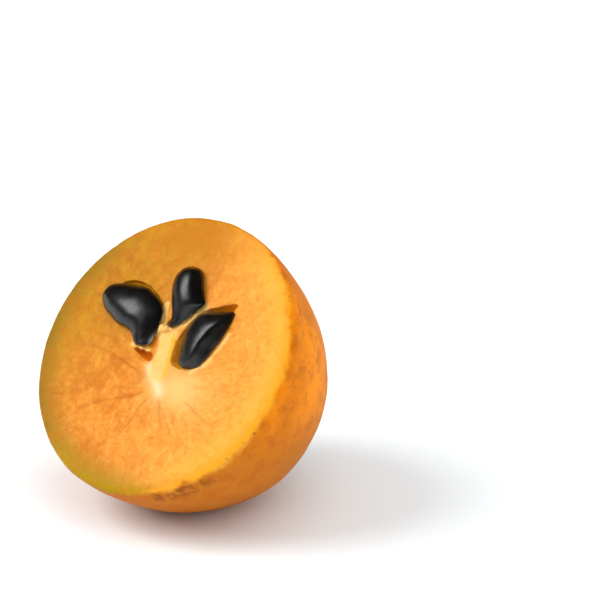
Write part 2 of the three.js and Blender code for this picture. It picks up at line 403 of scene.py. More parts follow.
def line_distance(points, line):
    """Distance to a line through its corners and the share of its length passed, on the face."""
    corners = np.array(line, float)
    steps = np.linalg.norm(np.diff(corners, axis=0), axis=1)
    passed = np.concatenate(([0], np.cumsum(steps))) / steps.sum()
    best = np.full(len(points), 1e9)
    share = np.zeros(len(points))
    for i in range(len(corners) - 1):
        step = corners[i + 1] - corners[i]
        t = np.clip((points - corners[i]) @ step / (step @ step), 0, 1)
        gap = np.linalg.norm(points - corners[i] - t[:, None] * step, axis=1)
        closer = gap < best
        best[closer] = gap[closer]
        share[closer] = (passed[i] + t * (passed[i + 1] - passed[i]))[closer]
    return best, share


def closed_curve(corners, count):
    """Even samples by corner of a smooth closed curve through the corners."""
    corners = np.array(corners, float)
    samples = []
    for i in range(count):
        place = i * len(corners) / count
        first = int(place)
        share = place - first
        p = [corners[(first + k) % len(corners)] for k in (-1, 0, 1, 2)]
        d = [np.linalg.norm(p[k + 1] - p[k]) ** 0.5 for k in range(3)]
        into = ((p[1] - p[0]) / d[0] - (p[2] - p[0]) / (d[0] + d[1]) + (p[2] - p[1]) / d[1]) * d[1]
        away = ((p[2] - p[1]) / d[1] - (p[3] - p[1]) / (d[1] + d[2]) + (p[3] - p[2]) / d[2]) * d[1]
        c2 = -3 * p[1] + 3 * p[2] - 2 * into - away
        c3 = 2 * p[1] - 2 * p[2] + into + away
        samples.append(p[1] + into * share + c2 * share**2 + c3 * share**3)
    return np.array(samples)


def eased(table, places):
    """Values of a table of places and values, read smoothly between its rows."""
    at, values = np.array(table, float).T
    low = np.clip(np.searchsorted(at, places, side="right") - 1, 0, len(at) - 2)
    gap = at[low + 1] - at[low]
    s = (places - at[low]) / gap
    slope = np.gradient(values, at)
    return (
        (2 * s**3 - 3 * s**2 + 1) * values[low]
        + (s**3 - 2 * s**2 + s) * gap * slope[low]
        + (3 * s**2 - 2 * s**3) * values[low + 1]
        + (s**3 - s**2) * gap * slope[low + 1]
    )


# ---- the half fruit


def skin_field(points):
    """Signed distance to the egg shape with its stem dimple, and its outward direction."""
    turn = np.array(Matrix.Rotation(OVAL_TURN, 3, "Z"))
    local = points @ turn
    out = np.hypot(local[:, 0] / LONG_RADIUS, local[:, 1] / SHORT_RADIUS) * LONG_RADIUS
    dent = np.clip(1 - (out / STEM_DIMPLE_RADIUS) ** 2, 0, None) ** 2 * STEM_DIMPLE_DEPTH
    local[:, 2] -= np.where(local[:, 2] < 0, dent, 0)
    scaled = local / AXES
    size = np.linalg.norm(scaled, axis=1)
    slope = scaled / AXES / np.maximum(size, 1e-9)[:, None]
    steep = np.linalg.norm(slope, axis=1)
    return (size - 1) / steep, (slope / steep[:, None]) @ turn.T


def half_field(points, rounding):
    """Signed distance to the half egg with a rounded rim, and its outward direction."""
    skin, skin_way = skin_field(points)
    face = points[:, 2] - CUT_OFFSET
    face_way = np.array((0.0, 0.0, 1.0))
    a, b = skin + rounding, face + rounding
    corner = (a > 0) & (b > 0)
    reach = np.maximum(np.hypot(a, b), 1e-9)
    distance = np.where(corner, reach - rounding, np.maximum(skin, face))
    blended = (a[:, None] * skin_way + b[:, None] * face_way) / reach[:, None]
    way = np.where((skin > face)[:, None], skin_way, face_way)
    return distance, np.where(corner[:, None], blended, way)


def egg_solid(rounding):
    """Half egg with a rounded rim, before its hollows are cut."""
    egg = unit_ball("fruit_body", EGG_SEGMENTS, EGG_RINGS)
    edit_all(egg)
    bpy.ops.transform.resize(value=tuple(AXES))
    bpy.ops.mesh.bisect(
        plane_co=(0, 0, CUT_OFFSET), plane_no=(0, 0, 1), use_fill=True, clear_outer=True
    )
    bpy.ops.mesh.bevel(offset=rounding, segments=RIM_STEPS, affect="EDGES")
    leave_edit_mode()
    egg.data.transform(Matrix.Rotation(OVAL_TURN, 4, "Z"))
    points = points_of(egg)
    low = points[:, 2] < -POLE_LENGTH / 2
    distance, way = skin_field(points)
    points[low] -= (distance[:, None] * way)[low]
    move_points(egg, points)
    return egg


def pocket_cutter(name, depth, outline):
    """Hollow as a tool: a drawn outline, extruded down and drawn in to a rounded floor."""
    tool = primitive(
        bpy.ops.mesh.primitive_circle_add, "pocket_" + name,
        vertices=POCKET_CORNERS, radius=1, fill_type="NGON",
    )
    edge = closed_curve(outline, POCKET_CORNERS)
    middle = np.array(outline).mean(axis=0)
    ragged = sum(
        share * np.array([noise.noise(Vector((*p, level)) * frequency) for p in edge])
        for frequency, level, share in POCKET_WAVES
    )
    away = (edge - middle) / np.linalg.norm(edge - middle, axis=1)[:, None]
    edge = edge + away * POCKET_RAGGEDNESS * ragged[:, None]
    start = middle + (edge - middle) * POCKET_FLARE
    move_points(tool, np.column_stack((start, np.full(len(edge), CUT_OFFSET + POCKET_REACH))))
    downs = [step / POCKET_FLOOR_STEP * math.pi / 2 for step in range(POCKET_STEPS)]
    rings = [(math.cos(down) ** POCKET_FULLNESS, -depth * math.sin(down)) for down in downs]
    edit_all(tool)
    extrude_rings([(POCKET_FLARE, POCKET_REACH), *rings], (*middle, 0.0))
    leave_edit_mode()
    outward(tool)
    return tool


def strand(name, line, thickness, phase):
    """Thin tapered thread of pith along a line, as a tube with closed ends."""
    tube = primitive(bpy.ops.mesh.primitive_cylinder_add, name, vertices=10, radius=1, depth=2)
    edit_all(tube)
    for height in STRAND_CUTS:
        bpy.ops.mesh.select_all(action="SELECT")
        bpy.ops.mesh.bisect(plane_co=(0, 0, height), plane_no=(0, 0, 1))
    leave_edit_mode()
    corners = np.array(line, float)
    steps = np.linalg.norm(np.diff(corners, axis=0), axis=1)
    lengths = np.concatenate(([0], np.cumsum(steps)))

    def spine(at):
        return np.column_stack([np.interp(at, lengths, corners[:, i]) for i in range(3)])

    local = points_of(tube)
    share = (local[:, 2] + 1) / 2
    at = share * lengths[-1]
    ahead = spine(np.minimum(at + STRAND_STEP, lengths[-1]))
    way = ahead - spine(np.maximum(at - STRAND_STEP, 0))
    way /= np.linalg.norm(way, axis=1)[:, None]
    side = np.cross(way, (0.13, 0.21, 0.97))
    side /= np.linalg.norm(side, axis=1)[:, None]
    up = np.cross(side, way)
    size = thickness * (0.35 + 0.65 * np.sin(np.pi * np.clip(share * 0.9 + 0.05, 0, 1)) ** 0.7)
    size *= 1 + 0.3 * np.sin(share * 17 + phase)
    around = side * (size * local[:, 0])[:, None] + up * (size * local[:, 1])[:, None]
    move_points(tube, spine(at) + around)
    outward(tube)
    return tube


def fruit_solid(rounding, fineness):
    """Half fruit with its pockets, pith threads, seats for the seeds and rest spot."""
    fruit = egg_solid(rounding)
    for name, (depth, outline) in POCKETS.items():
        boolean(fruit, pocket_cutter(name, depth, outline), "DIFFERENCE")
    for i, (line, thickness) in enumerate(STRANDS):
        raised = [(x, y, z + CUT_OFFSET) for x, y, z in line]
        boolean(fruit, strand(f"strand_{i}", raised, thickness, i), "UNION")
    for spec in SEEDS.values():
        seat = seed_solid("seat", spec, SEAT_SEGMENTS, SEAT_RINGS, SEAT_GAP)
        boolean(fruit, seat, "DIFFERENCE")
    edit_all(fruit)
    bpy.ops.mesh.bisect(plane_co=rest_spot(), plane_no=DOWN, use_fill=True, clear_outer=True)
    leave_edit_mode()
    modify(fruit, "REMESH", mode="VOXEL", voxel_size=fineness, adaptivity=0)
    plain = fruit.vertex_groups.new(name="plain_skin")
    height = points_of(fruit)[:, 2]
    for weight, low, high in THINNED_BANDS:
        band = np.flatnonzero((height >= low) & (height < high))
        plain.add(band.tolist(), weight, "REPLACE")
    modify(
        fruit, "DECIMATE", ratio=SKIN_THINNING, vertex_group=plain.name, vertex_group_factor=3.0
    )
    return fruit


def snap_points(points, rounding):
    """Moves points near the half egg's surface onto it, and those near the floor onto that."""
    for _ in range(3):
        distance, way = half_field(points, rounding)
        shallow = skin_field(points)[0] > -SNAP_DEPTH
        near = np.abs(distance) < np.where(shallow, SNAP_REACH, DEEP_SNAP_REACH)
        near &= part_frame(points)[:, 2] > FLOOR_CLEARANCE
        points[near] -= (distance[:, None] * way)[near]
    height = part_frame(points)[:, 2]
    points += DOWN * np.where(height < FLOOR_SNAP, height, 0)[:, None]


def patch(across, centre, reach):
    """Soft oval patch on the face, from 1 at its centre to 0."""
    return np.exp(-(((across - centre) / reach) ** 2).sum(axis=1))


def vein_field(across, grains):
    """Strength of the veins: thin wavering lines that fade towards their outer ends."""
    veins = np.zeros(len(across))
    wander = VEIN_WANDER * np.column_stack((grains["waves"], grains["lumps"]))
    for line, width, strength in VEINS:
        gap, share = line_distance(across + wander, line)
        taper = smooth(0, 0.12, share) * (1 - 0.75 * share) * (1 - smooth(0.93, 1.0, share))
        width = width * (0.7 + 0.5 * share) * (1 + 0.4 * grains["fine"])
        veins = np.maximum(veins, strength * taper * np.exp(-((gap / width) ** 2)))
    return veins


def column_field(across, fine):
    """Where the pale pith stands between the hollows."""
    column = np.zeros(len(across))
    for line, width in PITH:
        gap, _ = line_distance(across, line)
        column = np.maximum(column, 1 - smooth(0.75 * width, 1.25 * width, gap + 0.3 * fine))
    return column


def scuff_field(across, grains):
    """Broken brown scuffs along their lines."""
    scuff = np.zeros(len(across))
    waver = 0.5 * np.column_stack((grains["waves"], grains["fine"]))
    broken = smooth(-0.5, 0.1, grains["fine"] + grains["finer"])
    for line, width in SCUFFS:
        gap, _ = line_distance(across + waver, line)
        scuff = np.maximum(scuff, (1 - smooth(0.6 * width, 1.4 * width, gap)) * broken)
    return scuff


def store_rim_colours(fruit, around, inward):
    """Keeps where the olive, green and yellow flesh lies under the skin."""
    left = smooth(120, 160, around) * (1 - smooth(272, 304, around))
    bottom = smooth(228, 250, around) * (1 - smooth(288, 308, around))
    right = np.maximum(1 - smooth(40, 95, around), smooth(292, 318, around))
    store(fruit, "olive", left * np.exp(-((inward / OLIVE_REACH) ** 2)))
    store(fruit, "green", bottom * np.exp(-((inward / GREEN_REACH) ** 2)))
    store(fruit, "glow", right * np.exp(-(((inward - 1.0) / GLOW_REACH) ** 2)))


def shape_fruit(fruit, rounding):
    """Moves the remeshed points onto the true skin and face, then adds the natural relief."""
    modify(fruit, "SMOOTH", factor=0.5, iterations=2)
    points = points_of(fruit)
    around = np.degrees(np.arctan2(points[:, 1], points[:, 0])) % 360
    soft_rim = smooth(*SOFT_RIM_START, around) + (1 - smooth(*SOFT_RIM_END, around))
    snap_points(points, rounding * (1 + RIM_SOFTENING * soft_rim))
    move_points(fruit, points)
    way = normals_of(fruit)
    grains = {key: grain(points, *spec) for key, spec in GRAINS.items()}

    def heights(relief):
        return sum(height * grains[key] for key, height in relief.items())

    across = points[:, :2].copy()
    pale = patch(across, *PALE_PATCH)
    depth = CUT_OFFSET - points[:, 2]
    skin, _ = skin_field(points)
    inner = smooth(-0.3, -1.2, skin)
    hollow = smooth(0.12, 0.7, depth) * inner
    edge = eased(SKIN_EDGE, around) + (0.8 * grains["edge"] + 0.45 * grains["edge_fine"])
    edge_share = (depth - edge) / (EDGE_BLUR + SOFT_EDGE_BLUR * soft_rim)
    rind = smooth(-1, 1, edge_share) * smooth(-2.5, -1.2, skin)
    face = (1 - rind) * (1 - hollow)
    veins = vein_field(across, grains)
    core_gap, _ = line_distance(across, CORE_LINE)
    core = np.exp(-((core_gap / (1.5 + 0.5 * grains["waves"])) ** 2))
    column = column_field(across, grains["fine"])
    shallow = 1 - smooth(0.6, 3.2, depth)

    relief = rind * heights(SKIN_RELIEF) + face * heights(FACE_RELIEF)
    relief += hollow * heights(HOLLOW_RELIEF)
    relief -= face * VEIN_GROOVE * veins
    threads = 0.22 * column * shallow * (grains["fine"] + 0.8 * grains["finer"])
    relief += (0.10 * core + threads) * (1 - rind)
    relief *= smooth(0.05, 2.0, part_frame(points)[:, 2])
    points += way * relief[:, None]
    points += DOWN * np.minimum(part_frame(points)[:, 2], 0)[:, None]
    move_points(fruit, points)

    store(fruit, "rind", rind)
    # Depth into the seed hollows, by which the flesh gets its hollow lining and the painted shade
    # of the hollow walls.
    store(fruit, "hollow", smooth(0.1, 4.4, depth) * inner)
    store(fruit, "vein", veins * face)
    store(fruit, "core", core)
    store(fruit, "pale", pale)
    store(fruit, "column", column * shallow)
    store_rim_colours(fruit, around, np.clip(-skin, 0, None))
    store(fruit, "amber", patch(points[:, :2], *AMBER_PATCH))
    near_rim = 1 - smooth(3.5, 6, np.abs(depth))
    store(fruit, "scuff", scuff_field(points[:, :2], grains) * near_rim)
    from_stem = np.hypot(points[:, 0], points[:, 1]) / STEM_SCURF_REACH
    store(fruit, "stem", np.where(points[:, 2] < 0, np.exp(-(from_stem**2)), 0))


# ---- the seeds


def seed_solid(name, spec, segments, rings, extra=0.0):
    """Seed swelling out of its outline to both sides, larger all round by extra."""
    seed = unit_ball(name, segments, rings)
    ball = points_of(seed)
    place = np.arccos(np.clip(ball[:, 2], -1, 1)) / math.pi
    turn = np.arctan2(ball[:, 1], ball[:, 0])
    aside, out = np.cos(turn), np.sin(turn)

    # Each ring of the ball spans the outline, from one side to the other.
    curve = closed_curve(spec["outline"], 2 * rings)
    row = np.rint(place * rings).astype(int)
    middle = (curve[row] + curve[-row]) / 2
    half = (curve[-row] - curve[row]) / 2
    width = np.linalg.norm(half, axis=1)

    # The thickness follows the half width, evened out along the seed.
    rows = np.arange(rings + 1)
    padded = np.linalg.norm((curve[rows] - curve[-rows]) / 2, axis=1)
    padded = np.pad(padded, THICKNESS_EASE, mode="edge")
    window = np.ones(2 * THICKNESS_EASE + 1) / (2 * THICKNESS_EASE + 1)
    even = np.convolve(padded, window, mode="valid")[row]
    thick = np.where(width < even, np.sqrt(width * even), even)

    # The front has a soft ridge, and swells more on its upper side and towards its outer end.
    front = out > 0
    outer_peak, inner_peak = spec["ridge_place"]
    peak = outer_peak + (inner_peak - outer_peak) * place
    gap = np.sqrt((aside - peak) ** 2 + RIDGE_SOFTNESS**2) - RIDGE_SOFTNESS
    ramp = np.clip(1 - gap / (1 + np.where(aside > peak, -peak, peak)), 0, 1)
    share = np.where(front, spec["ridge"], 0)
    lift = ((1 - share) * np.abs(out) + share * ramp) * thick
    upper = half @ (-SWELL_WAY[0], -SWELL_WAY[1]) * aside / np.maximum(width, 1e-6)
    lift *= 1 + np.where(front, SWELL_SKEW * upper + spec["rise"] * (0.5 - place), 0)
    lift *= np.where(front, spec["front"], -spec["back"]) * (np.abs(out) > 1e-6)

    flat = middle + half * aside[:, None]
    level = np.full(len(flat), CUT_OFFSET + spec["height"])
    move_points(seed, np.column_stack((flat, level)) + lift[:, None] * np.array(SWELL_WAY))
    outward(seed)
    modify(seed, "SMOOTH", factor=0.5, iterations=2)
    if extra:
        move_points(seed, points_of(seed) + normals_of(seed) * extra)
    return seed


# ---- the calyx


def sepal_solid(around, length, width, lean):
    """Pointed, cupped and ribbed blade growing out of the scar's side."""
    blade = unit_ball("sepal", SEPAL_SEGMENTS, SEPAL_RINGS)
    ball = points_of(blade)
    along = (1 - ball[:, 2]) / 2
    turn = np.arctan2(ball[:, 1], ball[:, 0])
    root = np.sqrt(np.minimum(1, along / SEPAL_ROOT))
    tip = np.clip(1 - along, 0, 1)
    half_width = 0.6 * width * root * tip**0.8
    half_thickness = SEPAL_THICKNESS / 2 * root * tip**0.35
    cup = SEPAL_CUP * np.cos(turn) ** 2 * half_width / width
    ribs = SEPAL_RIB * np.cos(9 * np.cos(turn)) * np.sign(np.sin(turn)) * root * tip
    height = cup + half_thickness * np.sin(turn) + ribs + SEPAL_CURL * along**3
    move_points(blade, np.column_stack((length * along, half_width * np.cos(turn), height)))
    blade.data.transform(
        Matrix.Rotation(math.radians(around), 4, "Z")
        @ Matrix.Translation((SCAR_RADIUS * 0.62, 0, SCAR_HEIGHT * 0.45))
        @ Matrix.Rotation(math.radians(-lean), 4, "Y")
    )
    outward(blade)
    return blade


def scar_solid():
    """Worn round scar of the stem, as a disc extruded up its profile."""
    rings = [(share * SCAR_RADIUS, up * SCAR_HEIGHT) for share, up in SCAR_PROFILE]
    rings[0] = (rings[0][0], -SCAR_ROOT)
    scar = primitive(
        bpy.ops.mesh.primitive_circle_add, "calyx_dressed", vertices=SCAR_CORNERS,
        radius=rings[0][0], fill_type="NGON", location=(0, 0, -SCAR_ROOT),
    )
    bpy.ops.object.transform_apply(location=True)
    edit_all(scar)
    extrude_rings(rings, (0, 0, 0))
    leave_edit_mode()
    outward(scar)
    return scar


def calyx_solid():
    """Scar and sepals grown together and roughened, at the stem end."""
    calyx = scar_solid()
    for spec in SEPALS:
        boolean(calyx, sepal_solid(*spec), "UNION")
    modify(calyx, "REMESH", mode="VOXEL", voxel_size=CALYX_FINENESS, adaptivity=0)
    modify(calyx, "SMOOTH", factor=0.5, iterations=1)
    points = points_of(calyx)
    rough = 0.10 * grain(points, 1.3, 7.0) + 0.05 * grain(points, 0.5, 8.0)
    points += normals_of(calyx) * rough[:, None]
    move_points(calyx, points)
    calyx.data.transform(
        Matrix.Translation((0, 0, -POLE_LENGTH + STEM_DIMPLE_DEPTH - CALYX_GAP))
        @ Matrix.Rotation(math.pi, 4, "X")
    )
    return calyx


# ---- materials


class Painter:
    """Short names for adding and linking the nodes of one material."""

    def __init__(self, name):
        self.material = bpy.data.materials.new(name)
        self.material.use_nodes = True
        self.nodes = self.material.node_tree.nodes
        self.links = self.material.node_tree.links
        self.shader = self.nodes["Principled BSDF"].inputs

    def add(self, kind, inputs=(), **settings):
        """Adds a node with these settings and with its inputs fed by name."""
        node = self.nodes.new(kind)
        for key, value in settings.items():
            setattr(node, key, value)
        for key, value in dict(inputs).items():
            self.feed(node.inputs[key], value)
        return node

    def feed(self, socket, value):
        """Links a node's output to a socket, or sets a plain value on it."""
        if isinstance(value, bpy.types.NodeSocket):
            self.links.new(value, socket)
        else:
            socket.default_value = value

    def sums(self, operation, *values):
        node = self.add("ShaderNodeMath", operation=operation)
        for socket, value in zip(node.inputs, values):
            self.feed(socket, value)
        return node.outputs[0]

    def share(self, value, part):
        return self.sums("MULTIPLY", value, part)

    def mix(self, factor, first, second):
        """Colour that runs from the first to the second."""
        node = self.add("ShaderNodeMix", data_type="RGBA", blend_type="MIX")
        self.feed(node.inputs[0], factor)
        for socket, value in ((node.inputs[6], first), (node.inputs[7], second)):
            self.feed(socket, value if isinstance(value, bpy.types.NodeSocket) else (*value, 1.0))
        return node.outputs[2]

    def cover(self, base, colours, layers):
        """Colour under layers, each with its mask, its share and its colour's name."""
        for mask, part, name in layers:
            base = self.mix(self.share(mask, part), base, colours[name])
        return base

    def noise(self, vector, scale, detail=4.0, roughness=0.55, distortion=0.0):
        inputs = {"Vector": vector, "Scale": scale, "Detail": detail}
        inputs.update({"Roughness": roughness, "Distortion": distortion})
        return self.add("ShaderNodeTexNoise", inputs).outputs[0]

    def between(self, value, low, high):
        """Soft step from 0 at low to 1 at high."""
        inputs = {"Value": value, "From Min": low, "From Max": high}
        node = self.add("ShaderNodeMapRange", inputs, interpolation_type="SMOOTHSTEP")
        return node.outputs[0]

    def layer(self, name):
        """Number kept on the points under this name."""
        return self.add("ShaderNodeAttribute", attribute_name=name).outputs["Fac"]

    def own_coordinates(self):
        """Object coordinates as millimetres of the fruit's own frame."""
        inputs = {
            "Vector": self.add("ShaderNodeTexCoord").outputs["Object"],
            "Location": tuple(-(Matrix.Rotation(-LEAN, 3, "X") @ CENTRE)),
            "Rotation": (-LEAN, 0, 0),
            "Scale": (1 / METRES, 1 / METRES, 1 / METRES),
        }
        return self.add("ShaderNodeMapping", inputs).outputs[0]

    def bump(self, height, strength, distance, normal=None):
        node = self.add(
            "ShaderNodeBump", {"Height": height, "Strength": strength, "Distance": distance}
        )
        if normal:
            self.feed(node.inputs["Normal"], normal)
        return node.outputs[0]


def radial_fibres(paint, x, y, z):
    """Noise drawn out along the rays from the core."""
    dx = paint.sums("SUBTRACT", x, 1.0)
    dy = paint.sums("ADD", y, 4.0)
    turn = paint.sums("ARCTAN2", dy, dx)
    squares = paint.sums("MULTIPLY_ADD", dx, dx, paint.share(dy, dy))
    out = paint.share(paint.sums("SQRT", squares), 0.22)
    rays = paint.add("ShaderNodeCombineXYZ", {"X": paint.share(turn, 16.0), "Y": out, "Z": z})
    return paint.noise(rays.outputs[0], 1.0, 5.0, 0.65, 0.4)


def flesh_colour(paint, c, place, speck, fibre):
    """Mottled flesh with its rims, core, veins, hollows and pith, and painted shade in the hollows
    and down the pith column's right side.
    """
    x, y, _ = paint.add("ShaderNodeSeparateXYZ", {"Vector": place}).outputs
    clouds = paint.noise(place, 0.085, 3.0, 0.5)
    blotch = paint.noise(place, 0.30, 6.0, 0.66, 0.5)
    mottles = paint.between(blotch, 0.36, 0.64)
    slant = paint.sums("MULTIPLY_ADD", y, -0.55, paint.share(x, 0.8))
    right = paint.between(slant, -24.0, 4.0)
    left_flesh = paint.mix(mottles, c["left_deep"], c["left"])
    flesh = paint.mix(right, left_flesh, paint.mix(mottles, c["flesh_deep"], c["flesh"]))
    uneven = paint.sums("MULTIPLY_ADD", paint.between(blotch, 0.3, 0.6), 0.5, 0.5)
    deep = paint.layer("hollow")
    flesh = paint.cover(flesh, c, (
        (paint.between(x, -6.0, 20.0), 0.75, "flesh_light"),
        (paint.share(right, paint.between(clouds, 0.42, 0.72)), 0.4, "flesh_light"),
        (paint.between(fibre, 0.50, 0.68), 0.45, "flesh_deep"),
        (paint.between(speck, 0.49, 0.66), 0.62, "flesh_deep"),
        (paint.share(right, paint.between(speck, 0.46, 0.30)), 0.35, "pith"),
        (paint.layer("amber"), 0.8, "amber"),
        (paint.layer("glow"), 0.75, "glow"),
        (paint.layer("olive"), uneven, "olive"),
        (paint.layer("green"), uneven, "green"),
        (paint.layer("pale"), 0.7, "pale"),
        (paint.layer("core"), 0.95, "core"),
        (paint.layer("vein"), 0.7, "vein"),
        # Hollow lining: the flesh's colour there with painted shade of the walls in it.
        (paint.between(deep, 0.0, 0.10), 1.0, "hollow"),
        # Painted shade: darker towards the bottom of the seed hollows.
        (paint.between(deep, 0.3, 1.0), 1.0, "hollow_shade"),
    ))

    # Painted shade: the pith column takes the hollow colour down its right side wall, which faces
    # the right seed and lies in shade.
    pith = paint.mix(paint.between(speck, 0.35, 0.65), c["pale"], c["pith"])
    column_shade = paint.between(paint.sums("MULTIPLY_ADD", y, 0.29, x), 1.7, 3.2)
    column_shade = paint.share(column_shade, paint.between(y, 5.5, 3.5))
    column_shade = paint.share(column_shade, paint.between(x, 8.0, 6.0))
    pith = paint.mix(paint.share(column_shade, 0.9), pith, c["hollow"])
    return paint.mix(paint.share(paint.layer("column"), 0.9), flesh, pith)


def skin_colour(paint, c, place):
    """Skin with soft fields, brown mottles, dry dots, scurf round the stem and painted shade
    towards the underside.
    """
    _, y, z = paint.add("ShaderNodeSeparateXYZ", {"Vector": place}).outputs
    fields = paint.noise(place, 0.06, 3.0, 0.5)
    skin = paint.mix(paint.between(fields, 0.35, 0.65), c["skin_deep"], c["skin"])
    # How low on the fruit a point lies, for the painted shade towards the underside.
    under = paint.sums("MULTIPLY_ADD", z, 0.6, y)
    mottle = paint.noise(place, 0.27, 7.0, 0.7, 0.5)
    scurf = paint.noise(place, 0.9, 6.0, 0.72)
    dots = paint.add("ShaderNodeTexVoronoi", {"Vector": place, "Scale": 0.36, "Randomness": 1.0})
    dot = paint.between(dots.outputs["Distance"], 0.13, 0.05)
    rare = paint.between(paint.noise(place, 0.23, 2.0, 0.5), 0.5, 0.58)
    stem = paint.share(paint.layer("stem"), paint.between(mottle, 0.30, 0.58))
    return paint.cover(skin, c, (
        # Painted shade: browner skin towards the underside.
        (paint.between(under, 0.0, -22.0), 0.9, "skin_underside_shade"),
        (paint.between(mottle, 0.46, 0.62), 0.6, "mottle"),
        (paint.between(scurf, 0.50, 0.72), 0.35, "mottle"),
        (paint.share(dot, rare), 0.6, "scurf"),
        (stem, 0.9, "scurf"),
    ))


def flesh_and_skin(c):
    """Moist mottled flesh and matte brown-orange skin, told apart by the rind kept on points."""
    paint = Painter("flesh_and_skin")
    place = paint.own_coordinates()
    speck = paint.noise(place, 0.75, 5.0, 0.66, 0.6)
    fibre = radial_fibres(paint, *paint.add("ShaderNodeSeparateXYZ", {"Vector": place}).outputs)
    rind = paint.layer("rind")
    flesh = flesh_colour(paint, c, place, speck, fibre)
    colour = paint.mix(rind, flesh, skin_colour(paint, c, place))
    colour = paint.cover(colour, c, ((paint.layer("scuff"), 0.75, "scuff"),))
    paint.feed(paint.shader["Base Color"], colour)
    rough = paint.sums("MULTIPLY_ADD", rind, 0.18, 0.40)
    rough = paint.sums("ADD", rough, paint.sums("MULTIPLY_ADD", speck, 0.3, -0.15))
    paint.feed(paint.shader["Roughness"], rough)
    normal = paint.bump(paint.sums("MULTIPLY_ADD", fibre, 0.6, speck), 0.5, 0.0004)
    normal = paint.bump(paint.noise(place, 3.0, 4.0, 0.6), 0.35, 0.00015, normal)
    paint.feed(paint.shader["Normal"], normal)
    paint.shader["Subsurface Weight"].default_value = 0.15
    paint.shader["Subsurface Radius"].default_value = (1.0, 0.4, 0.1)
    paint.shader["Subsurface Scale"].default_value = 0.0018
    paint.shader["Specular IOR Level"].default_value = 0.09
    return paint.material


def seed_coat(c):
    """Glossy black coat with faint streaks along the seed."""
    paint = Painter("seed_coat")
    place = paint.own_coordinates()
    stretched = paint.add("ShaderNodeMapping", {"Vector": place, "Scale": (1.0, 0.35, 1.0)})
    streaks = paint.noise(stretched.outputs[0], 1.3, 4.0, 0.6)
    cloud = paint.between(paint.noise(place, 0.35, 3.0, 0.5), 0.4, 0.7)
    paint.feed(paint.shader["Base Color"], paint.mix(cloud, c["seed"], c["seed_brown"]))
    rough = paint.add(
        "ShaderNodeMapRange",
        {"Value": streaks, "From Min": 0.3, "From Max": 0.7, "To Min": 0.27, "To Max": 0.38},
    )
    paint.feed(paint.shader["Roughness"], rough.outputs[0])
    paint.feed(paint.shader["Normal"], paint.bump(streaks, 0.12, 0.0002))
    paint.shader["Specular IOR Level"].default_value = 0.55
    return paint.material


def dry_calyx(c):
    """Dry brown sepals with darker parts and pale weathered dust."""
    paint = Painter("dry_calyx")
    place = paint.own_coordinates()
    patches = paint.noise(place, 0.7, 6.0, 0.65)
    colour = paint.mix(paint.between(patches, 0.35, 0.65), c["calyx_dark"], c["calyx"])
    dust = paint.between(paint.noise(place, 2.4, 4.0, 0.7), 0.5, 0.75)
    colour = paint.cover(colour, c, ((dust, 0.5, "calyx_pale"),))
    paint.feed(paint.shader["Base Color"], colour)
    paint.shader["Roughness"].default_value = 0.85
    paint.feed(paint.shader["Normal"], paint.bump(patches, 0.5, 0.0004))
    return paint.material


def finish_piece(piece, nodes, material):
    """Puts a finished piece in the part's frame, gives it its material, hangs it under the root
    body and hides the imported part it stands in for.
    """
    piece.data.transform(PLACE)
    piece.data.materials.clear()
    piece.data.materials.append(material)
    choose(piece)
    bpy.ops.object.shade_smooth()
    clear_selection()
    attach(piece, "root")
    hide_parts(nodes)


# ---- settings


def shade(name, description, default):
    """Colour that a user may change, as it is displayed."""
    return bpy.props.FloatVectorProperty(
        name=name, description=description, default=default, subtype="COLOR_GAMMA", min=0, max=1
    )


def size(name, description, default, low, high):
    """Length in metres that a user may change."""
    return bpy.props.FloatProperty(
        name=name, description=description, default=default, min=low, max=high, subtype="DISTANCE"
    )


def strength(name, description, default):
    """Strength of a light that a user may change."""
    return bpy.props.FloatProperty(name=name, description=description, default=default, min=0)


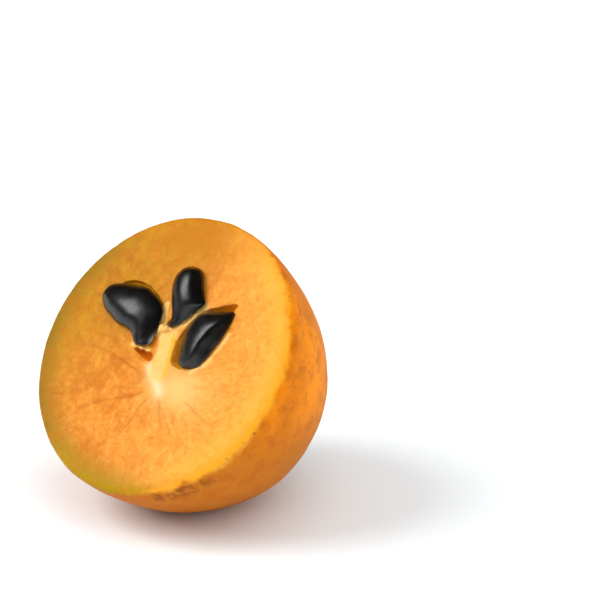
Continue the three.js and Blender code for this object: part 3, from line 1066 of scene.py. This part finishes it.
class SapodillaColours(bpy.types.PropertyGroup):
    flesh: shade("Flesh", "Main colour of the cut flesh", (0.90, 0.58, 0.19))
    flesh_deep: shade("Deep flesh", "Darker mottles and fibres", (0.80, 0.45, 0.09))
    left: shade("Left flesh", "Flesh on the shaded left", (0.76, 0.53, 0.03))
    left_deep: shade("Deep left flesh", "Darker mottles on the left", (0.69, 0.43, 0.0))
    flesh_light: shade("Light flesh", "Paler flesh on the right", (0.94, 0.62, 0.24))
    glow: shade("Yellow rim", "Flesh just under the skin on the right", (0.94, 0.66, 0.20))
    olive: shade("Olive rim", "Flesh just under the skin on the left", (0.55, 0.41, 0.0))
    green: shade("Green rim", "Flesh just under the skin at the bottom", (0.68, 0.52, 0.0))
    amber: shade("Amber patch", "Riper patch near the top", (0.74, 0.45, 0.0))
    pale: shade("Pale flesh", "Flesh beside the core", (0.95, 0.77, 0.47))
    core: shade("Core", "White streak of the core", (0.98, 0.81, 0.60))
    pith: shade("Pith", "Pale flecks and threads", (0.96, 0.74, 0.38))
    vein: shade("Veins", "Thin brown veins", (0.68, 0.34, 0.06))
    # Hollow colour: the flesh's colour in the hollows with painted shade of their walls in it; it
    # also paints the shade down the pith column's right side.
    hollow: shade("Hollows", "Upper lining of the seed hollows", (0.98, 0.66, 0.12))
    # Painted shade: a darker colour laid towards the bottom of the seed hollows.
    hollow_shade: shade("Deep hollows", "Lining at the bottom of the hollows", (0.84, 0.50, 0.09))
    skin: shade("Skin", "Main colour of the skin", (0.98, 0.57, 0.0))
    skin_deep: shade("Deep skin", "Browner fields of the skin", (0.86, 0.47, 0.0))
    # Painted shade: browner skin towards the underside, where less light falls.
    skin_underside_shade: shade("Low skin", "Browner skin towards the underside", (0.76, 0.44, 0.08))
    mottle: shade("Mottles", "Soft brown mottles of the skin", (0.74, 0.38, 0.05))
    scurf: shade("Scurf", "Dry dark scurf and dots of the skin", (0.42, 0.24, 0.12))
    scuff: shade("Scuffs", "Brown scuffs at the rim", (0.54, 0.28, 0.04))
    seed: shade("Seed", "Black of the seed coat", (0.035, 0.028, 0.03))
    seed_brown: shade("Seed brown", "Browner fields of the seed coat", (0.055, 0.042, 0.038))
    calyx: shade("Calyx", "Dry sepals", (0.34, 0.23, 0.17))
    calyx_dark: shade("Dark calyx", "Darkest parts of the sepals", (0.16, 0.10, 0.09))
    calyx_pale: shade("Pale calyx", "Weathered edges of the sepals", (0.55, 0.46, 0.38))


class SapodillaFruit(bpy.types.PropertyGroup):
    rim_rounding: size("Rim rounding", "Radius of the rim of the cut face", 0.0012, 0.0003, 0.003)
    fineness: size("Fineness", "Spacing of the flesh's points", 0.0003, 0.0002, 0.001)


class SapodillaStage(bpy.types.PropertyGroup):
    floor_size: size("Floor size", "Width of the floor", 8.0, 1.0, 20.0)
    key_light: strength("Key light", "Strength of the soft main light", 2.3)
    side_light: strength("Side light", "Strength of the fill from the right", 1.3)
    top_light: strength("Top light", "Strength of the wide light overhead", 0.5)
    surroundings: strength("Surroundings", "Strength of the pale surroundings", 0.45)


def linear(colour):
    """Scene-linear values of a display colour."""
    return [c / 12.92 if c <= 0.04045 else ((c + 0.055) / 1.055) ** 2.4 for c in colour]


def colour_values(context):
    """Scene-linear values of the colours in the settings, by name."""
    settings = context.scene.sapodilla_colours
    return {key: linear(tuple(getattr(settings, key))) for key in settings.__annotations__}


# ---- operators


class SapodillaFruitHalf(bpy.types.Operator):
    """Half fruit with its cut face, seed hollows and skin"""

    bl_idname = "sapodilla.fruit_half"
    bl_label = "Half fruit"

    def execute(self, context):
        settings = context.scene.sapodilla_fruit
        rounding = settings.rim_rounding / METRES
        fruit = fruit_solid(rounding, settings.fineness / METRES)
        shape_fruit(fruit, rounding)
        fruit.name = fruit.data.name = "fruit_half_dressed"
        coat = flesh_and_skin(colour_values(context))
        finish_piece(fruit, "fruit_half", coat)
        return {"FINISHED"}


class SapodillaSeeds(bpy.types.Operator):
    """Three glossy black seeds in their hollows"""

    bl_idname = "sapodilla.seeds"
    bl_label = "Seeds"

    def execute(self, context):
        coat = seed_coat(colour_values(context))
        for name, spec in SEEDS.items():
            seed = seed_solid(name + "_dressed", spec, SEED_SEGMENTS, SEED_RINGS)
            finish_piece(seed, name, coat)
        return {"FINISHED"}


class SapodillaCalyx(bpy.types.Operator):
    """Dry calyx: the worn stem scar with six sepals round it"""

    bl_idname = "sapodilla.calyx"
    bl_label = "Calyx"

    def execute(self, context):
        finish_piece(calyx_solid(), "calyx", dry_calyx(colour_values(context)))
        return {"FINISHED"}


def camera_axes():
    """Ways from the fruit back to the camera, and to the right and up in its view."""
    aside, ahead = math.sin(CAMERA_AZIMUTH), math.cos(CAMERA_AZIMUTH)
    level = math.cos(CAMERA_ELEVATION)
    back = Vector((aside * level, -ahead * level, math.sin(CAMERA_ELEVATION)))
    right = Vector((ahead, aside, 0.0))
    return back, right, back.cross(right)


class SapodillaStageSet(bpy.types.Operator):
    """Pale floor, soft studio light and the camera"""

    bl_idname = "sapodilla.stage"
    bl_label = "Stage"

    def execute(self, context):
        scene = context.scene
        settings = scene.sapodilla_stage
        floor = primitive(bpy.ops.mesh.primitive_plane_add, "floor", size=settings.floor_size)
        paint = Painter("floor")
        paint.shader["Base Color"].default_value = FLOOR_COLOUR
        paint.shader["Roughness"].default_value = 0.9
        paint.shader["Specular IOR Level"].default_value = 0.1
        floor.data.materials.append(paint.material)

        back, right, up = camera_axes()
        centre = Vector(CENTRE) * METRES
        camera = bpy.data.objects.new("camera", bpy.data.cameras.new("camera"))
        scene.collection.objects.link(camera)
        camera.location = centre + CAMERA_RIGHT * right + CAMERA_UP * up + CAMERA_DISTANCE * back
        camera.rotation_mode = "QUATERNION"
        camera.rotation_quaternion = Matrix((right, up, back)).transposed().to_quaternion()
        camera.data.lens = SENSOR_WIDTH * (CAMERA_DISTANCE / PIXEL) / PHOTO_WIDTH
        camera.data.sensor_width = SENSOR_WIDTH
        camera.data.clip_start = 0.01
        scene.camera = camera

        world = bpy.data.worlds.new("surroundings")
        scene.world = world
        world.use_nodes = True
        world.cycles_visibility.glossy = False
        backdrop = world.node_tree.nodes["Background"].inputs
        backdrop["Strength"].default_value = settings.surroundings
        backdrop["Color"].default_value = (1, 1, 1, 1)

        # Only the main light shines in the gloss, so the seeds stay black.
        for name, way, angle in (
            ("key_light", back * 0.3 - right * 0.74 + up * 0.6, 40),
            ("side_light", back * 0.5 + right * 0.65 + up * 0.6, 100),
            ("top_light", Vector((0.0, 0.0, 1.0)), 120),
        ):
            light = bpy.data.lights.new(name, "SUN")
            light.energy = getattr(settings, name)
            light.angle = math.radians(angle)
            holder = bpy.data.objects.new(name, light)
            scene.collection.objects.link(holder)
            holder.location = centre + way
            holder.visible_glossy = name == "key_light"
            holder.rotation_mode = "QUATERNION"
            holder.rotation_quaternion = way.to_track_quat("Z", "Y")
        scene.view_settings.view_transform = "Standard"
        scene.view_settings.look = "None"
        return {"FINISHED"}


class SAPODILLA_PT_parts(bpy.types.Panel):
    """Lists the parts of the sapodilla half"""

    bl_label = "Sapodilla half"
    bl_space_type = "VIEW_3D"
    bl_region_type = "UI"
    bl_category = "Sapodilla"

    def draw(self, context):
        scene = context.scene
        for settings, operators in (
            (scene.sapodilla_fruit, (SapodillaFruitHalf, SapodillaSeeds, SapodillaCalyx)),
            (scene.sapodilla_stage, (SapodillaStageSet,)),
            (scene.sapodilla_colours, ()),
        ):
            for key in settings.__annotations__:
                self.layout.prop(settings, key)
            for operator in operators:
                self.layout.operator(operator.bl_idname)


GROUPS = {
    "sapodilla_colours": SapodillaColours,
    "sapodilla_fruit": SapodillaFruit,
    "sapodilla_stage": SapodillaStage,
}
CLASSES = (
    *GROUPS.values(),
    SapodillaFruitHalf,
    SapodillaSeeds,
    SapodillaCalyx,
    SapodillaStageSet,
    SAPODILLA_PT_parts,
)


def register():
    for entry in CLASSES:
        bpy.utils.register_class(entry)
    for name, group in GROUPS.items():
        setattr(bpy.types.Scene, name, bpy.props.PointerProperty(type=group))


def unregister():
    for name in GROUPS:
        delattr(bpy.types.Scene, name)
    for entry in reversed(CLASSES):
        bpy.utils.unregister_class(entry)


def main():
    register()
    bpy.ops.sapodilla.fruit_half()
    bpy.ops.sapodilla.seeds()
    bpy.ops.sapodilla.calyx()
    bpy.ops.sapodilla.stage()


if __name__ == "__main__":
    main()
